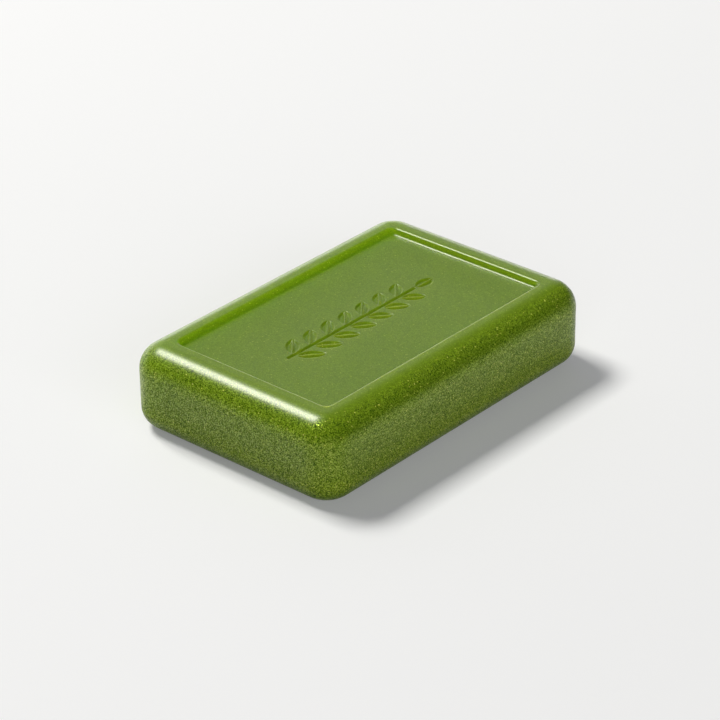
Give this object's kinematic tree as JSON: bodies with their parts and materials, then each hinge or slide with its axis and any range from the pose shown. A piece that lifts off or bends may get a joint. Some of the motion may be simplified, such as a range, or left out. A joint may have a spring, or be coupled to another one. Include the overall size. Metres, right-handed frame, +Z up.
{
  "type": "bar of soap",
  "caption": "Rounded rectangular bar of green glitter soap with a sunken panel on its top and a leaf sprig pressed into the panel.",
  "frame": {"origin": "middle of the flat underside", "axes": "+X along the bar, towards the tip of the leaf sprig, +Y across it, +Z up out of the sunken panel"},
  "size_m": [0.087, 0.058, 0.0198],
  "materials": {
    "soap": "satin pressed soap, slightly see-through, with fine gold-green glitter"
  },
  "bodies": {
    "root": {"soap_bar": "soap"}
  },
  "joints": []
}
